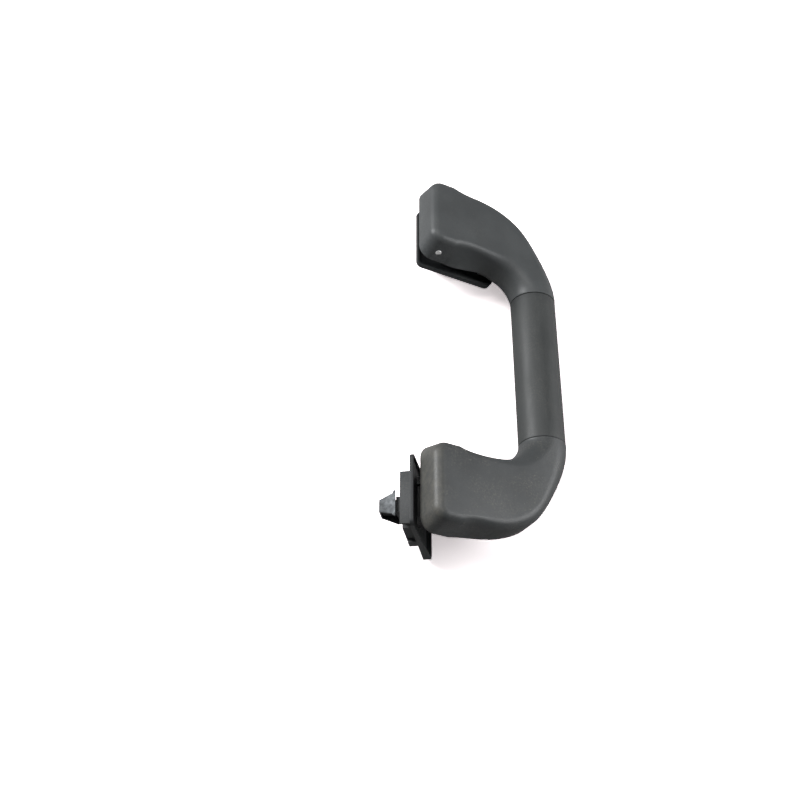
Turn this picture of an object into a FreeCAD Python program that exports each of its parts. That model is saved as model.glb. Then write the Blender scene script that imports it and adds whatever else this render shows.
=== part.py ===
import FreeCAD, Part
import math
import os
import Sketcher

# Roof grab handle with two hinge brackets.
# All sizes are millimetres. The handle is modelled lying on its back: X runs from the hinge end
# to the grip, Y along the grip towards the upper foot, Z from the roof into the cabin.
# The finished part has its origin on the upper bracket's seat, which lies on the roof panel.

doc = FreeCAD.newDocument("RoofGrabHandle")
sheet = doc.addObject("Spreadsheet::Sheet", "Sizes")

DRIVING_SIZES = (
    ("grip_diameter", 25.0, "outer diameter of the round grip"),
    ("grip_x", 68.7, "grip axis, from the hinge end of the foot"),
    ("grip_z", 6.3, "grip axis, above the open base of the foot"),
    ("seam_y", 46.0, "end face of an arm at the grip, from the middle of the handle"),
    ("seam_gap", 0.3, "visible joint line between an arm and the grip"),
    ("ring_round", 12.3, "corner radius that makes the arm's last section round"),
    ("foot_middle", 82.0, "middle of a foot, from the middle of the handle"),
    ("foot_width", 45.8, "foot at its base, along the handle"),
    ("foot_height", 15.2, "foot, from its base to the front face"),
    ("foot_straight", 14.0, "straight part of the foot, at the hinge end"),
    ("foot_side", 24.0, "where the foot's sides turn into the bend"),
    ("end_out", 1.3, "hinge end face, past the zero of X"),
    ("end_lean", 0.6, "lean of the hinge end face over the foot's height"),
    ("outer_flare", 1.6, "how much further the outer side stands out at the hinge end"),
    ("inner_draft_end", 3.9, "lean of the inner side face at the hinge end"),
    ("outer_draft_end", 2.3, "lean of the outer side face at the hinge end"),
    ("inner_draft", 5.9, "lean of the inner side face where the bend begins"),
    ("outer_draft", 2.9, "lean of the outer side face where the bend begins"),
    ("corner_round", 7.5, "rounding of the foot's two upright corners at the hinge end"),
    ("front_round", 4.4, "rounding along the front edges of the foot"),
    ("base_round", 1.8, "rounding along the underside of the moulding"),
    ("base_cut", 2.5, "what the flat base takes off the moulding's underside"),
    ("base_length", 38.0, "flat base of the foot, from its hinge end"),
    ("wall", 2.2, "wall of the hollow foot"),
    ("front_wall", 2.6, "front wall of the hollow foot"),
    ("hollow_length", 37.0, "length of the hollow in the foot, at its base"),
    ("hollow_round", 0.8, "corners of the hollow at the rib and at its far end"),
    ("rib_back", 7.0, "from the end of the flat base back to the middle of the cross rib"),
    ("rib_thick", 2.0, "cross rib in the foot"),
    ("pin_x", 7.8, "hinge pin, from the hinge end of the foot"),
    ("pin_z", 5.4, "hinge pin, above the base of the foot"),
    ("pin_radius", 1.75, "hinge pin"),
    ("pin_blind", 1.6, "wall left outside the pin's blind end"),
    ("press_gap", 0.02, "radial gap where a pin is pressed in"),
    ("running_gap", 0.05, "radial gap where a part turns on a pin"),
    ("core_radius", 8.0, "steel core tube, outside"),
    ("core_wall", 2.0, "steel core tube"),
    ("core_entry", 12.5, "length of the core in each arm"),
    ("core_gap", 0.05, "radial gap round the core"),
    ("core_end_gap", 0.3, "gap past the end of the core"),
    ("screw_radius", 1.5, "screw that holds an arm on the core"),
    ("screw_inset", 6.0, "screw, from the arm's end face"),
    ("screw_length", 10.5, "screw, under its head"),
    ("screw_head_radius", 2.7, "screw head"),
    ("screw_head_height", 1.8, "screw head"),
    ("screw_head_depth", 2.6, "screw head's seat, from the back of the arm"),
    ("recess_width", 1.0, "drive recess in the screw head"),
    ("bracket_shift", -3.0, "middle of a bracket, from the middle of its foot"),
    ("tray_start", 5.6, "bracket tray, from the pin towards the hinge end"),
    ("tray_length", 48.0, "bracket tray, away from the hinge end"),
    ("tray_width", 38.7, "bracket tray, along the handle"),
    ("seat_drop", 9.8, "back of the tray, below the foot's base"),
    ("rim_near", 1.9, "tray at its hinge end, rim and floor"),
    ("rim_far", 4.0, "tray at its free end, rim and floor"),
    ("tray_floor", 1.4, "floor of the tray"),
    ("tray_rim", 1.5, "rim round the tray"),
    ("tray_near_round", 3.0, "tray corners at the hinge end"),
    ("tray_far_round", 4.5, "tray corners at the free end"),
    ("ear_spacing", 22.0, "between the middles of the two hinge ears"),
    ("ear_thick", 4.0, "hinge ear"),
    ("knuckle_radius", 3.7, "eye of a hinge ear"),
    ("neck_near", 9.4, "hinge ear, side facing the hinge end"),
    ("neck_far", 13.2, "hinge ear, side facing the free end"),
    ("bridge_thick", 1.8, "wall that joins the two ears"),
    ("bridge_height", 11.8, "wall that joins the two ears, above the floor"),
    ("box_start", 0.4, "locating box, from the pin"),
    ("box_length", 24.0, "locating box, away from the hinge end"),
    ("box_width", 28.2, "locating box, along the handle"),
    ("box_shift", 1.9, "middle of the locating box, outwards from the middle of the tray"),
    ("box_depth", 5.8, "locating box, behind the seat"),
    ("box_wall", 1.3, "end wall of the box, between the hinge end and the side slots"),
    ("slot_length", 4.6, "slot in the side of the box"),
    ("slot_depth", 3.0, "slot in the side of the box, along the handle"),
    ("side_step", 0.4, "how much lower the sides of the box stand past their slots"),
    ("lug_length", 5.0, "lug on the side of the box, at its free end"),
    ("lug_reach", 1.9, "how far a lug stands out from the side of the box"),
    ("lug_depth", 4.8, "lug, behind the seat"),
    ("nose_x", 15.3, "middle of the snap nose, from the pin"),
    ("nose_shift", 0.7, "middle of the snap nose, outwards from the middle of the tray"),
    ("neck_depth", 3.6, "neck between the box and the nose"),
    ("neck_length", 9.0, "neck, away from the hinge end"),
    ("neck_width", 8.5, "neck, along the handle"),
    ("nose_depth", 8.7, "snap nose, from the neck to its tip"),
    ("nose_length", 13.6, "snap nose at its wide end"),
    ("nose_width", 12.2, "snap nose at its wide end"),
    ("tip_length", 8.4, "snap nose at its tip"),
    ("tip_width", 6.4, "snap nose at its tip"),
    ("clip_thick", 0.8, "sheet of the spring clip"),
    ("tongue_width", 4.6, "tongue inside the spring clip"),
    ("tongue_gap", 0.3, "gap between the tongue and the clip's legs"),
    ("barb_height", 1.6, "barb at the corner of a clip leg"),
    ("barb_width", 1.1, "barb at the corner of a clip leg, out from its side"),
    ("stud_radius", 1.1, "stud of the tongue in the clip's tip"),
    ("pad_radius", 4.0, "rubber stop"),
    ("pad_stem_radius", 1.6, "stem of the rubber stop"),
    ("pad_stem_depth", 1.0, "stem of the rubber stop, into the tray's floor"),
    ("pad_gap", 0.3, "gap between the rubber stop and the foot's rib"),
    ("pad_round", 1.2, "rounded edge of the rubber stop"),
    ("sleeve_wall", 0.55, "sleeve and bush walls on the pin"),
    ("side_gap", 0.1, "end gap between the ears and what sits between them"),
    ("coil_radius", 3.0, "return spring, to the middle of its wire"),
    ("wire_radius", 0.5, "return spring wire"),
    ("coil_pitch", 1.6, "return spring"),
    ("coil_turns", 6.0, "whole turns of the return spring"),
    ("damper_radius", 3.7, "rotary damper, outside"),
    ("damper_wall", 0.9, "rotary damper shell"),
    ("damper_cap", 1.6, "rotary damper end cap"),
    ("seal_wire", 0.9, "damper seal"),
    ("damper_foot", 8.0, "foot of the damper, along the pin"),
    ("damper_foot_thick", 1.6, "foot of the damper, against the bracket's bridge"),
    ("lower_open", 52.0, "angle in degrees between the lower bracket and its closed place"),
)

for row, (alias, number, note) in enumerate(DRIVING_SIZES, start=1):
    sheet.set(f"A{row}", alias)
    sheet.set(f"B{row}", str(number))
    sheet.setAlias(f"B{row}", alias)
    sheet.set(f"C{row}", note)
doc.recompute()


class Size:
    """A length or angle: its value, and the same formula written in the sheet's names."""

    def __init__(self, text, value):
        self.text = text
        self.value = value

    def __add__(self, other):
        other = as_size(other)
        return Size(f"({self.text} + {other.text})", self.value + other.value)

    def __sub__(self, other):
        other = as_size(other)
        return Size(f"({self.text} - {other.text})", self.value - other.value)

    def __mul__(self, other):
        other = as_size(other)
        return Size(f"({self.text} * {other.text})", self.value * other.value)

    def __truediv__(self, other):
        other = as_size(other)
        return Size(f"({self.text} / {other.text})", self.value / other.value)

    def __neg__(self):
        return Size(f"(0 - {self.text})", -self.value)

    def __radd__(self, other):
        return as_size(other) + self

    def __rsub__(self, other):
        return as_size(other) - self

    def __rmul__(self, other):
        return as_size(other) * self


def as_size(number):
    """Plain numbers become sizes with the same text."""
    if isinstance(number, Size):
        return number
    return Size(f"({number})", float(number))


class Named:
    """Gives each cell of the sheet as an attribute."""

    def __getattr__(self, alias):
        return Size(f"Sizes.{alias}", float(sheet.get(alias)))


S = Named()
ZERO = as_size(0)

# The origin of the finished part: the middle of the upper bracket's free seat, past its box.
box_far = S.box_start + S.box_length
seat_x = S.pin_x + (box_far + S.tray_length - S.tray_start) / 2
seat_y = S.foot_middle + S.bracket_shift
seat_z = -S.seat_drop
rib_x = S.base_length - S.rib_back


def place(x, y, z, yaw=ZERO, pitch=ZERO, roll=ZERO):
    """The formula of a placement: a position and three angles."""
    parts = [as_size(item).text for item in (x, y, z, yaw, pitch, roll)]
    spot = "; ".join(parts[:3])
    turn = "; ".join(parts[3:])
    return f"create(<<placement>>; create(<<vector>>; {spot}); create(<<rotation>>; {turn}))"


def placement(x, y, z, yaw=ZERO, pitch=ZERO, roll=ZERO):
    """The same placement as a value."""
    spot = FreeCAD.Vector(*[as_size(item).value for item in (x, y, z)])
    turn = FreeCAD.Rotation(*[as_size(item).value for item in (yaw, pitch, roll)])
    return FreeCAD.Placement(spot, turn)


def new_body(label):
    body = doc.addObject("PartDesign::Body", label)
    body.Label = label
    return body


def new_sketch(body, label, x=ZERO, y=ZERO, z=ZERO, yaw=ZERO, pitch=ZERO, roll=ZERO):
    """A sketch laid on the body's XY plane and moved from there by a bound offset."""
    sketch = body.newObject("Sketcher::SketchObject", f"{body.Label}_{label}")
    plane = [item for item in body.Origin.OriginFeatures if item.Role == "XY_Plane"][0]
    sketch.AttachmentSupport = [(plane, "")]
    sketch.MapMode = "FlatFace"
    sketch.setExpression("AttachmentOffset", place(x, y, z, yaw, pitch, roll))
    return sketch


def plan_sketch(body, label, z=ZERO):
    """Sketch x is X and sketch y is Y. It faces up."""
    return new_sketch(body, label, z=z)


def side_sketch(body, label, y=ZERO):
    """Sketch x is X and sketch y is Z. It faces -Y."""
    return new_sketch(body, label, y=y, roll=as_size(90))


def end_sketch(body, label, x=ZERO):
    """Sketch x is Y and sketch y is Z. It faces +X."""
    return new_sketch(body, label, x=x, yaw=as_size(90), roll=as_size(90))


def bind(sketch, constraint, size):
    """Adds a dimension to a sketch and binds it to the sheet."""
    index = sketch.addConstraint(constraint)
    sketch.setExpression(f"Constraints[{index}]", as_size(size).text)


def pin_point(sketch, geometry, corner, x, y):
    """Holds one point of a sketch at a place measured from the sketch's origin."""
    x = as_size(x)
    y = as_size(y)
    bind(sketch, Sketcher.Constraint("DistanceX", -1, 1, geometry, corner, x.value), x)
    bind(sketch, Sketcher.Constraint("DistanceY", -1, 1, geometry, corner, y.value), y)


def outline(sketch, points):
    """A closed outline of straight lines."""
    points = [(as_size(x), as_size(y)) for x, y in points]
    count = len(points)
    first = sketch.GeometryCount
    for index in range(count):
        start = FreeCAD.Vector(points[index][0].value, points[index][1].value, 0)
        following = points[(index + 1) % count]
        end = FreeCAD.Vector(following[0].value, following[1].value, 0)
        sketch.addGeometry(Part.LineSegment(start, end), False)
    for index in range(count):
        after = first + (index + 1) % count
        sketch.addConstraint(Sketcher.Constraint("Coincident", first + index, 2, after, 1))
    for index in range(count):
        pin_point(sketch, first + index, 1, *points[index])


def circle(sketch, x, y, radius):
    radius = as_size(radius)
    middle = FreeCAD.Vector(as_size(x).value, as_size(y).value, 0)
    normal = FreeCAD.Vector(0, 0, 1)
    index = sketch.addGeometry(Part.Circle(middle, normal, radius.value), False)
    bind(sketch, Sketcher.Constraint("Radius", index, radius.value), radius)
    pin_point(sketch, index, 3, x, y)


def rectangle(sketch, low_x, high_x, low_y, high_y):
    corners = [(low_x, low_y), (high_x, low_y), (high_x, high_y), (low_x, high_y)]
    outline(sketch, corners)


def corner_points(before, corner, after, radius):
    """Where a rounded corner's arc starts, ends and has its middle."""
    to_before = (before - corner).normalize()
    to_after = (after - corner).normalize()
    half = to_before.getAngle(to_after) / 2
    reach = radius / math.tan(half)
    middle = corner + (to_before + to_after).normalize() * (radius / math.sin(half))
    return corner + to_before * reach, corner + to_after * reach, middle


def rounded_outline(sketch, corners, radii):
    """A four-sided outline with rounded corners, held by a sharp one in construction lines."""
    corners = [(as_size(x), as_size(y)) for x, y in corners]
    spots = [FreeCAD.Vector(x.value, y.value, 0) for x, y in corners]
    count = len(spots)
    for index in range(count):
        line = Part.LineSegment(spots[index], spots[(index + 1) % count])
        sketch.addGeometry(line, True)
    for index in range(count):
        sketch.addConstraint(Sketcher.Constraint("Coincident", index, 2, (index + 1) % count, 1))
    for index in range(count):
        pin_point(sketch, index, 1, *corners[index])
    arcs = []
    for index in range(count):
        before = spots[index - 1]
        after = spots[(index + 1) % count]
        arcs.append(corner_points(before, spots[index], after, radii[index].value))
    lines = []
    rounds = []
    for index in range(count):
        line = Part.LineSegment(arcs[index][1], arcs[(index + 1) % count][0])
        lines.append(sketch.addGeometry(line, False))
        start, end, middle = arcs[index]
        first = math.atan2(start.y - middle.y, start.x - middle.x)
        last = math.atan2(end.y - middle.y, end.x - middle.x)
        full = Part.Circle(middle, FreeCAD.Vector(0, 0, 1), radii[index].value)
        rounds.append(sketch.addGeometry(Part.ArcOfCircle(full, first, last), False))
    for index in range(count):
        sketch.addConstraint(Sketcher.Constraint("PointOnObject", lines[index], 1, index))
        sketch.addConstraint(Sketcher.Constraint("PointOnObject", lines[index], 2, index))
        sketch.addConstraint(Sketcher.Constraint("Tangent", rounds[index], 2, lines[index], 1))
        before = lines[index - 1]
        sketch.addConstraint(Sketcher.Constraint("Tangent", before, 2, rounds[index], 1))
        radius = radii[index]
        bind(sketch, Sketcher.Constraint("Radius", rounds[index], radius.value), radius)


def pad(body, sketch, length):
    """Grows a sketch along the way it faces."""
    feature = body.newObject("PartDesign::Pad", f"{sketch.Name}_pad")
    feature.Profile = sketch
    feature.setExpression("Length", as_size(length).text)
    doc.recompute()
    return feature


def pocket(body, sketch, length):
    """Cuts a sketch along the way it faces."""
    feature = body.newObject("PartDesign::Pocket", f"{sketch.Name}_cut")
    feature.Profile = sketch
    feature.Reversed = True
    feature.setExpression("Length", as_size(length).text)
    doc.recompute()
    return feature


def revolve(body, sketch):
    """Turns a side sketch about the sketch's own vertical axis."""
    feature = body.newObject("PartDesign::Revolution", f"{sketch.Name}_turned")
    feature.Profile = sketch
    feature.ReferenceAxis = (sketch, ["V_Axis"])
    feature.Angle = 360
    doc.recompute()
    return feature


def block(body, label, xs, ys, zs):
    """A plain block between two values on each axis."""
    sketch = plan_sketch(body, label, zs[0])
    rectangle(sketch, xs[0], xs[1], ys[0], ys[1])
    return pad(body, sketch, as_size(zs[1]) - zs[0])


def cut_block(body, label, xs, ys, zs):
    sketch = plan_sketch(body, label, zs[0])
    rectangle(sketch, xs[0], xs[1], ys[0], ys[1])
    return pocket(body, sketch, as_size(zs[1]) - zs[0])


def upright_edges(feature, test):
    """Names of the straight edges along Z whose middle passes the test."""
    names = []
    for index, edge in enumerate(feature.Shape.Edges, start=1):
        box = edge.BoundBox
        if box.XLength < 1e-4 and box.YLength < 1e-4 and box.ZLength > 1e-3 and test(box.Center):
            names.append(f"Edge{index}")
    return names


def fillet(body, feature, names, radius, label):
    result = body.newObject("PartDesign::Fillet", f"{body.Label}_{label}")
    result.Base = (feature, names)
    result.setExpression("Radius", as_size(radius).text)
    doc.recompute()
    return result


# The end arm is one hollow moulding: a box-like foot that bends into the round grip.

foot_inner = S.foot_middle - S.foot_width / 2
foot_outer = S.foot_middle + S.foot_width / 2
foot_wide = foot_outer + S.outer_flare
foot_lean_in = S.inner_draft_end / S.foot_height
foot_lean_out = S.outer_draft_end / S.foot_height
grip_radius = S.grip_diameter / 2


def arm_section(body, label, spot, yaw, roll, low, high, radii):
    """One section of the arm. low and high give the two ends of its lower and upper side
    across the arm, and its lowest and highest point, all from the section's own middle."""
    sketch = new_sketch(body, label, spot[0], spot[1], spot[2], yaw, ZERO, roll)
    corners = [(low[0], low[2]), (low[1], low[2]), (high[1], high[2]), (high[0], high[2])]
    rounded_outline(sketch, corners, [radii[0], radii[0], radii[1], radii[1]])
    return sketch


def foot_section(body, label, x, outer, drafts):
    """A section across the foot, at right angles to X."""
    below_in = drafts[0] / S.foot_height * S.base_cut
    below_out = drafts[1] / S.foot_height * S.base_cut
    low = (foot_inner - below_in, outer + below_out, -S.base_cut)
    high = (foot_inner + drafts[0], outer - drafts[1], S.foot_height)
    spot = (x, ZERO, ZERO)
    return arm_section(body, label, spot, as_size(90), as_size(90), low, high,
                       (S.base_round, S.front_round))


def bend_section(body, label, share, yaw, wide, rise, radii):
    """A section in the bend. share runs from 0 at the foot to 1 at the grip, for its height."""
    inner, outer = wide
    middle_x = (inner[0] + outer[0]) / 2
    middle_y = (inner[1] + outer[1]) / 2
    half = wide_half(inner, outer)
    base = (S.grip_z - grip_radius) * share - S.base_cut * (1 - share)
    front = S.foot_height * (1 - share) + (S.grip_z + grip_radius) * share - rise
    lean_in = S.inner_draft * (1 - share) * (1 - share)
    lean_out = S.outer_draft * (1 - share) * (1 - share)
    low = (-half - lean_in / 3, half + lean_out / 3, base)
    high = (-half + lean_in / 3, half - lean_out / 3, front)
    return arm_section(body, label, (middle_x, middle_y, ZERO), yaw, as_size(90), low, high, radii)


def wide_half(inner, outer):
    """Half the distance between two points of a plan, as a bound size."""
    run = outer[0] - inner[0]
    fall = outer[1] - inner[1]
    text = f"(sqrt({run.text} ^ 2 + {fall.text} ^ 2) / 2)"
    return Size(text, math.hypot(run.value, fall.value) / 2)


def plan_yaw(inner, outer):
    """The direction from the inner to the outer point, in degrees."""
    run = outer[0] - inner[0]
    fall = outer[1] - inner[1]
    text = f"(atan2({fall.text}; {run.text}) / 1 deg)"
    return Size(text, math.degrees(math.atan2(fall.value, run.value)))


def arm_sections(body):
    """The sections of an arm, from the end of the straight foot to the grip."""
    sections = [foot_section(body, "foot", S.foot_straight, foot_wide,
                             (S.inner_draft_end, S.outer_draft_end))]
    sections.append(foot_section(body, "foot_end", S.foot_side, foot_outer,
                                 (S.inner_draft, S.outer_draft)))
    # The bend is set by where its inner and outer sides lie in plan, from the grip's own end.
    grip_in = (S.grip_x - grip_radius, S.seam_y + 0)
    grip_out = (S.grip_x + grip_radius, S.seam_y + 0)
    stations = (
        ("bend_a", 0.16, (S.foot_side + 14.0, foot_inner + 2.9),
         (S.foot_side + 14.5, foot_outer - 2.9), 0.9, (3.2, 4.6)),
        ("bend_b", 0.34, (grip_in[0] - 10.0, foot_inner + 0.6),
         (grip_out[0] - 24.1, foot_outer - 10.9), 0.9, (4.8, 6.8)),
        ("bend_c", 0.58, (grip_in[0] - 4.6, S.seam_y + 9.4),
         (grip_out[0] - 11.5, S.seam_y + 31.8), 0.5, (8.4, 9.0)),
        ("bend_d", 0.82, (grip_in[0] - 1.1, S.seam_y + 4.2),
         (grip_out[0] - 3.6, S.seam_y + 16.2), 0.2, (10.8, 10.8)),
    )
    for label, share, inner, outer, dip, radii in stations:
        share = as_size(share)
        radii = (as_size(radii[0]), as_size(radii[1]))
        yaw = plan_yaw(inner, outer)
        sections.append(bend_section(body, label, share, yaw, (inner, outer), as_size(dip), radii))
    low = (-grip_radius, grip_radius, -grip_radius)
    high = (-grip_radius, grip_radius, grip_radius)
    sections.append(arm_section(body, "grip_end", (S.grip_x, S.seam_y, S.grip_z), ZERO,
                                as_size(90), low, high, (S.ring_round, S.ring_round)))
    return sections


def make_arm(label):
    body = new_body(label)
    sections = arm_sections(body)
    doc.recompute()
    profile = end_sketch(body, "foot_profile", ZERO - S.foot_height)
    outline(profile, [(foot_inner, ZERO), (foot_wide, ZERO),
                      (foot_wide - S.outer_draft_end, S.foot_height),
                      (foot_inner + S.inner_draft_end, S.foot_height)])
    pad(body, profile, S.foot_straight + S.foot_height)
    # The hinge end face leans towards the grip.
    reach = S.foot_height * 2
    slope = S.end_lean / S.foot_height
    end = side_sketch(body, "end_face", S.foot_middle * 2)
    outline(end, [(-reach, -reach), (slope * -reach - S.end_out, -reach),
                  (slope * reach - S.end_out, reach), (-reach, reach)])
    cut = pocket(body, end, S.foot_middle * 2)
    # First the two upright corners are rounded, then the loop of edges round the front.
    names = []
    for index, edge in enumerate(cut.Shape.Edges, start=1):
        box = edge.BoundBox
        if box.XMax < S.end_lean.value and box.ZLength > S.foot_height.value / 2:
            names.append(f"Edge{index}")
    corners = fillet(body, cut, names, S.corner_round, "corner_round")
    names = []
    for index, edge in enumerate(corners.Shape.Edges, start=1):
        box = edge.BoundBox
        if box.ZMin > S.foot_height.value * 0.99 and box.XMin < S.foot_straight.value * 0.99:
            names.append(f"Edge{index}")
    fillet(body, corners, names, S.front_round, "front_round")
    loft = body.newObject("PartDesign::AdditiveLoft", f"{label}_bend_form")
    loft.Profile = sections[0]
    loft.Sections = sections[1:]
    loft.Ruled = False
    doc.recompute()
    # The base is cut flat, so the moulding's underside steps down where the bend begins.
    cut_block(body, "flat_base", (-S.foot_height, S.base_length), (ZERO, S.foot_middle * 2),
              (-S.foot_height, ZERO))
    hollow_arm(body)
    drill_arm(body)
    body.setExpression("Placement", place(-seat_x, -seat_y, -seat_z))
    return body


def hollow_side(x, z):
    """Where the hollow's two side walls lie at a place in the foot."""
    share = (x + S.end_out) / (S.hollow_length + S.end_out)
    draft_in = S.inner_draft_end + (S.inner_draft - S.inner_draft_end) * share
    draft_out = S.outer_draft_end + (S.outer_draft - S.outer_draft_end) * share
    flare = S.outer_flare * (1 - share * 1.5)
    return (foot_inner + S.wall + draft_in / S.foot_height * z,
            foot_outer + flare - S.wall - draft_out / S.foot_height * z)


def hollow_arm(body):
    """The open hollow under the foot, with its cross rib left standing."""
    depth = S.foot_height - S.front_wall
    below = as_size(4.0)
    near = S.wall - S.end_out
    lean = S.end_lean / S.foot_height
    rooms = (("near_hollow", near, rib_x - S.rib_thick / 2, lean, S.corner_round - S.wall),
             ("far_hollow", rib_x + S.rib_thick / 2, S.hollow_length, ZERO, S.hollow_round))
    for label, low_x, high_x, slope, near_round in rooms:
        sketches = []
        for part, z in (("foot", -below), ("top", depth)):
            sketch = plan_sketch(body, f"{label}_{part}", z)
            start = low_x + slope * z
            near_in, near_out = hollow_side(start, z)
            far_in, far_out = hollow_side(high_x, z)
            corners = [(start, near_in), (high_x, far_in), (high_x, far_out), (start, near_out)]
            rounded_outline(sketch, corners, [near_round, S.hollow_round, S.hollow_round,
                                              near_round])
            sketches.append(sketch)
        doc.recompute()
        cut = body.newObject("PartDesign::SubtractiveLoft", f"{body.Label}_{label}")
        cut.Profile = sketches[0]
        cut.Sections = [sketches[1]]
        cut.Ruled = True
        doc.recompute()


def drill_arm(body):
    """The pin's hole, the core's socket, and the screw's hole with its head seat."""
    # The pin goes in through the inner side face and stops short of the outer one.
    bore = side_sketch(body, "pin_bore", foot_wide - S.pin_blind - foot_lean_out * S.pin_z)
    circle(bore, S.pin_x, S.pin_z, S.pin_radius + S.press_gap)
    pocket(body, bore, S.foot_width)
    socket = side_sketch(body, "socket", S.seam_y + S.core_entry + S.core_end_gap)
    circle(socket, S.grip_x, S.grip_z, S.core_radius + S.core_gap)
    pocket(body, socket, S.core_entry * 2)
    screw_y = S.seam_y + S.screw_inset
    hole = plan_sketch(body, "screw_hole", S.grip_z - grip_radius - 1)
    circle(hole, S.grip_x, screw_y, S.screw_radius + S.running_gap)
    pocket(body, hole, grip_radius)
    seat = plan_sketch(body, "screw_seat", S.grip_z - grip_radius - 1)
    circle(seat, S.grip_x, screw_y, S.screw_head_radius + S.running_gap * 2)
    pocket(body, seat, S.screw_head_depth + 1)


upper_arm = make_arm("upper_end_arm")
doc.recompute()


def mirrored_label(source, label):
    """The same moulding, mirrored to the other end of the handle."""
    mirror = doc.addObject("Part::Mirroring", label)
    mirror.Label = label
    mirror.Source = source
    mirror.Base = FreeCAD.Vector(0, 0, 0)
    mirror.Normal = FreeCAD.Vector(0, 1, 0)
    mirror.setExpression("Base", f"create(<<vector>>; 0; {(-seat_y).text}; 0)")
    return mirror


lower_arm = mirrored_label(upper_arm, "lower_end_arm")


def make_sleeve():
    """The grip is a thick tube that slides over the core."""
    body = new_body("grip_sleeve")
    length = S.seam_y * 2 - S.seam_gap * 2
    sketch = side_sketch(body, "ring", S.seam_y - S.seam_gap)
    circle(sketch, S.grip_x, S.grip_z, grip_radius)
    circle(sketch, S.grip_x, S.grip_z, S.core_radius + S.core_gap)
    pad(body, sketch, length)
    body.setExpression("Placement", place(-seat_x, -seat_y, -seat_z))
    return body


def make_core():
    """A steel tube that ties the two arms together, with a hole for each screw."""
    body = new_body("grip_core")
    reach = S.seam_y + S.core_entry
    sketch = side_sketch(body, "ring", reach)
    circle(sketch, S.grip_x, S.grip_z, S.core_radius)
    circle(sketch, S.grip_x, S.grip_z, S.core_radius - S.core_wall)
    pad(body, sketch, reach * 2)
    holes = plan_sketch(body, "screw_holes", S.grip_z - S.core_radius - 1)
    for side in (1, -1):
        circle(holes, S.grip_x, (S.seam_y + S.screw_inset) * side, S.screw_radius + S.press_gap)
    pocket(body, holes, S.core_radius)
    body.setExpression("Placement", place(-seat_x, -seat_y, -seat_z))
    return body


def make_screw(label, side):
    """A pan-head screw, drawn with its tip up, with a cross recess in the head."""
    body = new_body(label)
    sketch = side_sketch(body, "half")
    tip = S.screw_radius * 0.25
    outline(sketch, [(ZERO, ZERO), (S.screw_head_radius, ZERO),
                     (S.screw_head_radius, S.screw_head_height),
                     (S.screw_radius, S.screw_head_height),
                     (S.screw_radius, S.screw_head_height + S.screw_length - S.screw_radius),
                     (tip, S.screw_head_height + S.screw_length),
                     (ZERO, S.screw_head_height + S.screw_length)])
    revolve(body, sketch)
    deep = S.screw_head_height * 0.55
    reach = S.screw_head_radius * 0.62
    half = S.recess_width / 2
    cut_block(body, "recess_a", (-reach, reach), (-half, half), (ZERO, deep))
    cut_block(body, "recess_b", (-half, half), (-reach, reach), (ZERO, deep))
    seat = S.grip_z - grip_radius + S.screw_head_depth - S.screw_head_height
    spot_y = (S.seam_y + S.screw_inset) * side - seat_y
    body.setExpression("Placement", place(S.grip_x - seat_x, spot_y, seat - seat_z))
    return body


def make_pin(label, side):
    """A steel pin, flush with the inner side face of its foot."""
    body = new_body(label)
    start = foot_inner + foot_lean_in * S.pin_z
    end = foot_wide - S.pin_blind - foot_lean_out * S.pin_z - 0.1
    length = end - start
    sketch = plan_sketch(body, "round")
    circle(sketch, ZERO, ZERO, S.pin_radius)
    pad(body, sketch, length)
    turn = -90 * side
    spot_y = start * side - seat_y
    body.setExpression("Placement", place(S.pin_x - seat_x, spot_y, S.pin_z - seat_z,
                                          roll=as_size(turn)))
    return body


make_sleeve()
make_core()
make_screw("upper_core_screw", 1)
make_screw("lower_core_screw", -1)
make_pin("upper_hinge_pin", 1)
make_pin("lower_hinge_pin", -1)

# A bracket is modelled about its pin: X away from the hinge end, Z into the cabin.

tray_back = -S.pin_z - S.seat_drop
floor_top = tray_back + S.tray_floor
tray_near = -S.tray_start
tray_far = S.tray_length - S.tray_start
ear_in = S.ear_spacing / 2 - S.ear_thick / 2
ear_out = S.ear_spacing / 2 + S.ear_thick / 2
box_back = tray_back - S.box_depth
neck_back = box_back - S.neck_depth
nose_back = neck_back - S.nose_depth


def bracket_place(side):
    """Where a bracket's pin lies, and how far it is swung open."""
    spot_y = (S.foot_middle * side) + S.bracket_shift - seat_y
    swing = S.lower_open if side < 0 else ZERO
    return place(S.pin_x - seat_x, spot_y, S.pin_z - seat_z, pitch=swing)


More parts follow.
